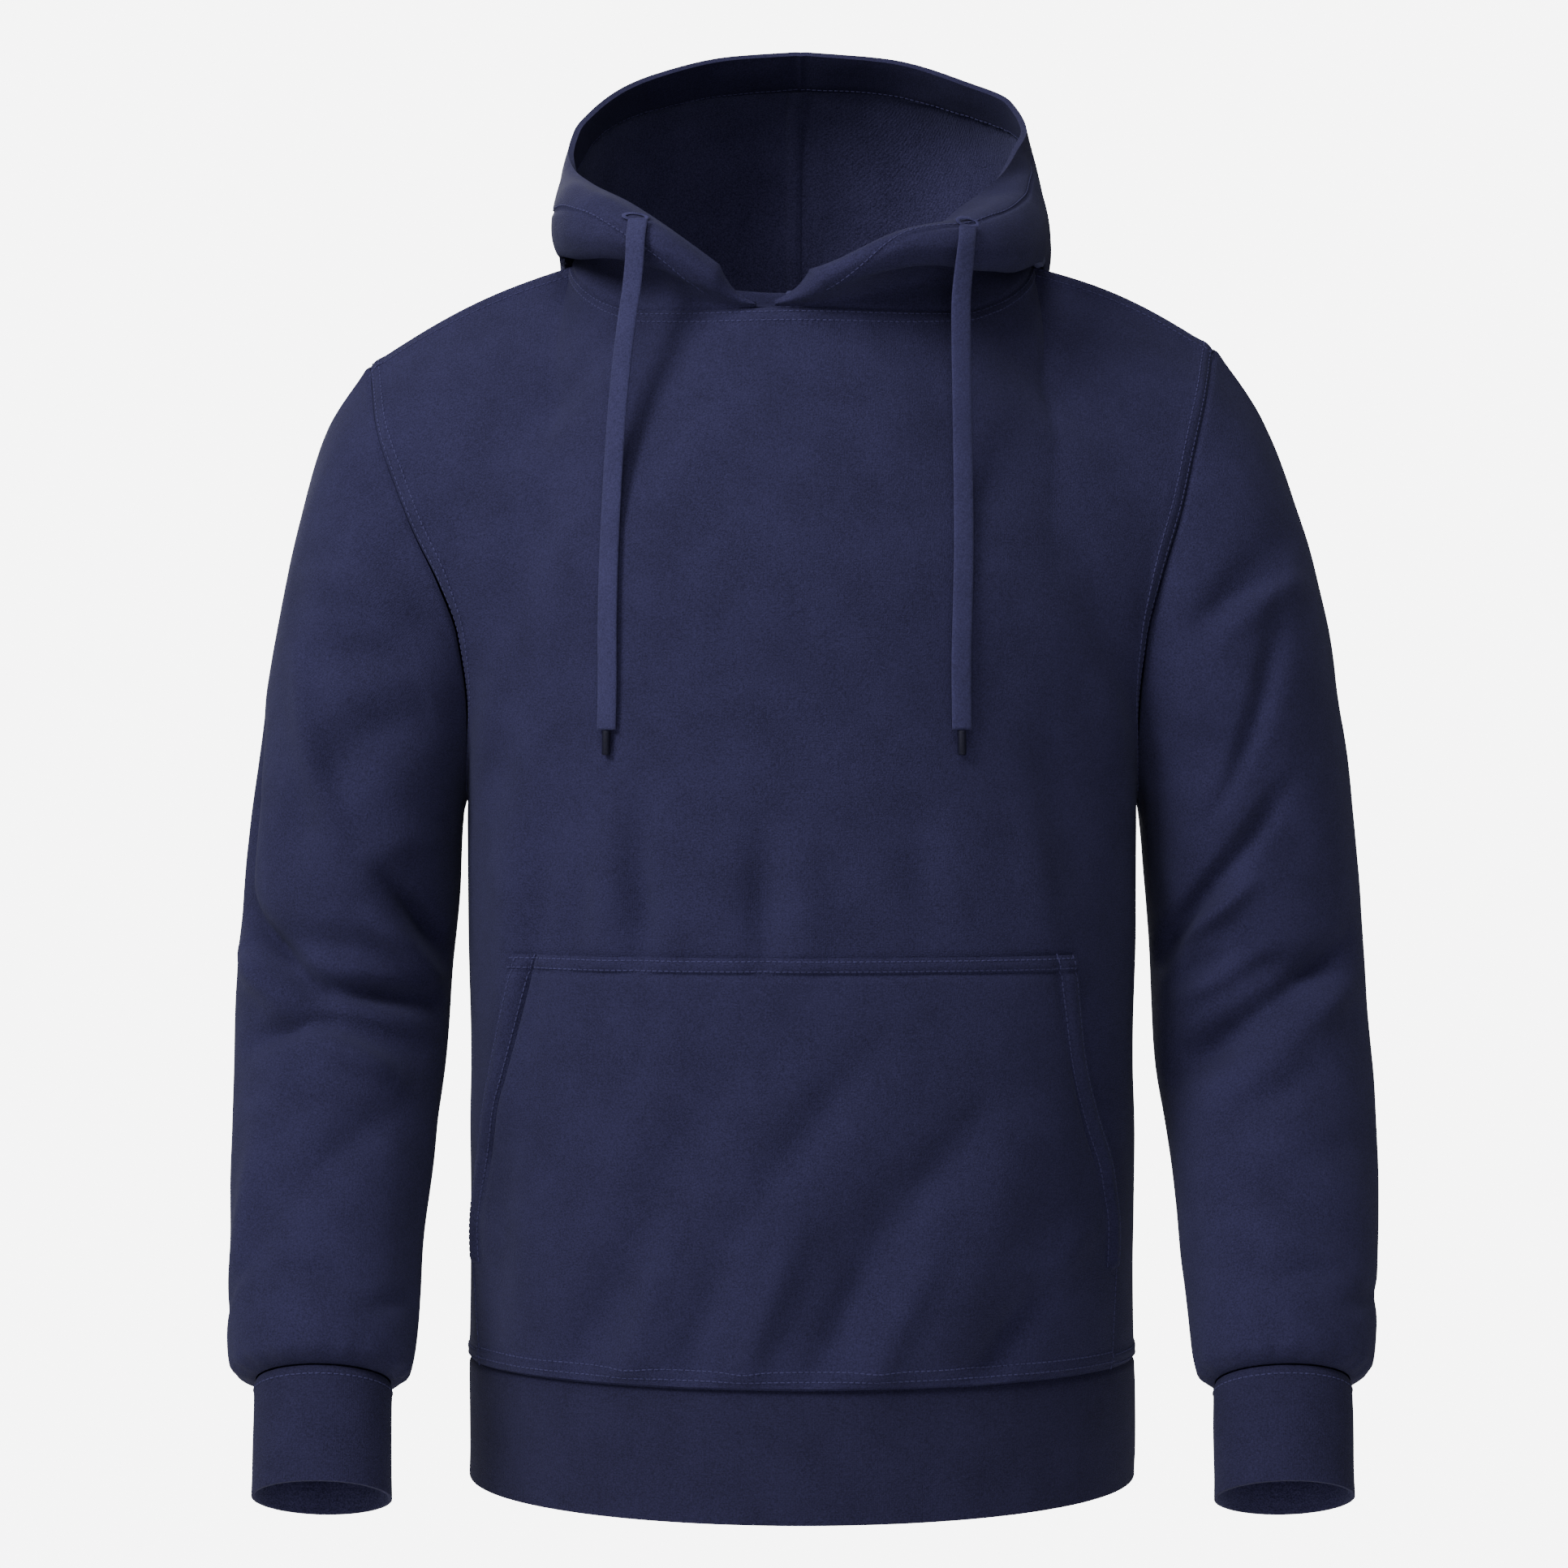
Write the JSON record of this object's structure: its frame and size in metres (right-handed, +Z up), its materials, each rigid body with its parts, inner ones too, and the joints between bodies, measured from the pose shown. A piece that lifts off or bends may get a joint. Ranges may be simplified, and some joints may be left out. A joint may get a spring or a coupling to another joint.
{
  "type": "pullover hoodie",
  "caption": "Navy fleece pullover hoodie, filled out hollow as worn: hood lowered behind the neck, front pocket, long sleeves with cuffs, drawstrings.",
  "frame": {"origin": "middle of the neck opening, level with the shoulders, where the wearer's neck and shoulders hold the garment", "axes": "+Z up, the wearer faces -Y, the wearer's left is +X"},
  "size_m": [0.631, 0.3714, 0.8222],
  "materials": {
    "fleece": "matt navy knitted jersey with fine heathered grain, brushed fleece inside",
    "band": "matt navy fine rib knit",
    "braid": "flat braided cotton cord, a little lighter than the cloth",
    "tip": "dark bound cord tip"
  },
  "bodies": {
    "root": {"front_body": "fleece", "back_body": "fleece", "hem_band": "band", "left_sleeve": "fleece", "right_sleeve": "fleece", "left_cuff": "band", "right_cuff": "band", "hood_left": "fleece", "hood_right": "fleece", "pocket": "fleece", "drawstring_left": "braid", "drawstring_right": "braid", "drawstring_tip_left": "tip", "drawstring_tip_right": "tip"}
  },
  "joints": []
}
